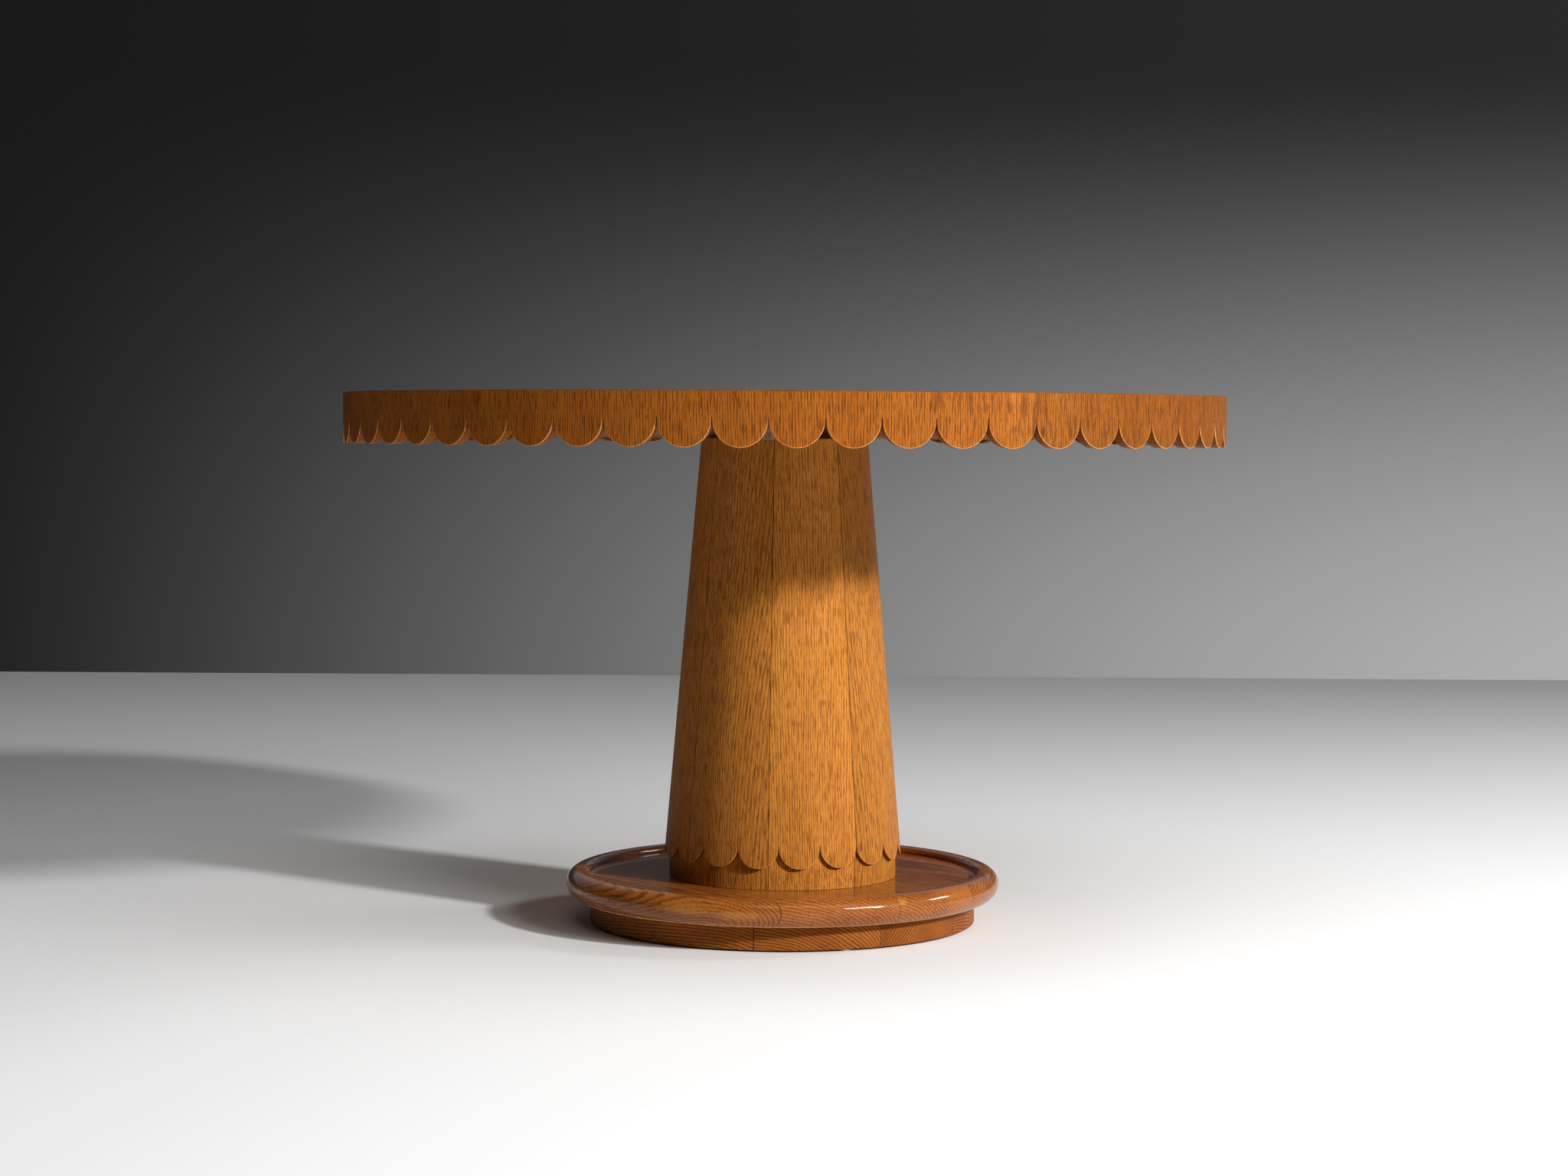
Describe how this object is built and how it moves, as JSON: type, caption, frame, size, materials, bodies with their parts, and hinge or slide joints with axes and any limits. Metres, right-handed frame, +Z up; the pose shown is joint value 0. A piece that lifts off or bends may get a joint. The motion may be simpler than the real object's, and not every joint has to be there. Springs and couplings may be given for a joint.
{
  "type": "round pedestal table",
  "caption": "Round oak dining table on a tapered staved column, with scalloped rim and column foot, and a round ring-edged base.",
  "frame": {"origin": "on the floor, on the axis of the column, at the level that the glides stand on", "axes": "+Z up along the column axis; -Y is the front as pictured; +X to the right when facing the front"},
  "size_m": [1.25, 1.25, 0.755],
  "materials": {
    "top_veneer": "satin lacquered oak veneer",
    "core_board": "plywood core",
    "backing_veneer": "plain oiled oak veneer",
    "rim_oak": "satin lacquered oak, upright grain",
    "hidden_wood": "bare wood",
    "bearer_oak": "oiled oak",
    "column_oak": "satin lacquered oak, upright grain",
    "base_oak": "gloss lacquered oak",
    "glide_nylon": "white nylon",
    "zinc_steel": "zinc plated"
  },
  "bodies": {
    "root": {"backing_veneer": "backing_veneer", "base_ring_board_1": "base_oak", "base_ring_board_2": "base_oak", "base_ring_board_3": "base_oak", "base_ring_board_4": "base_oak", "base_ring_board_5": "base_oak", "base_to_column_screws": "zinc_steel", "bearer_cross": "bearer_oak", "bearer_long": "bearer_oak", "bearer_to_column_screws": "zinc_steel", "bearer_to_core_screws": "zinc_steel", "column_foot_block": "hidden_wood", "column_splines": "hidden_wood", "column_stave_1": "column_oak", "column_stave_2": "column_oak", "column_stave_3": "column_oak", "column_stave_4": "column_oak", "column_stave_5": "column_oak", "column_stave_6": "column_oak", "column_stave_7": "column_oak", "column_stave_8": "column_oak", "column_top_block": "hidden_wood", "floor_glides": "glide_nylon", "glide_nails": "zinc_steel", "plinth_board_1": "base_oak", "plinth_board_2": "base_oak", "plinth_board_3": "base_oak", "plinth_board_4": "base_oak", "plinth_board_5": "base_oak", "plinth_to_base_screws": "zinc_steel", "rim_segment_1": "rim_oak", "rim_segment_2": "rim_oak", "rim_segment_3": "rim_oak", "rim_segment_4": "rim_oak", "rim_splines": "hidden_wood", "tie_rod": "zinc_steel", "tie_rod_nuts": "zinc_steel", "tie_rod_washers": "zinc_steel", "top_core": "core_board", "top_veneer_leaf_1": "top_veneer", "top_veneer_leaf_2": "top_veneer", "top_veneer_leaf_3": "top_veneer", "top_veneer_leaf_4": "top_veneer", "top_veneer_leaf_5": "top_veneer", "top_veneer_leaf_6": "top_veneer", "top_veneer_leaf_7": "top_veneer", "top_veneer_leaf_8": "top_veneer"}
  },
  "joints": []
}
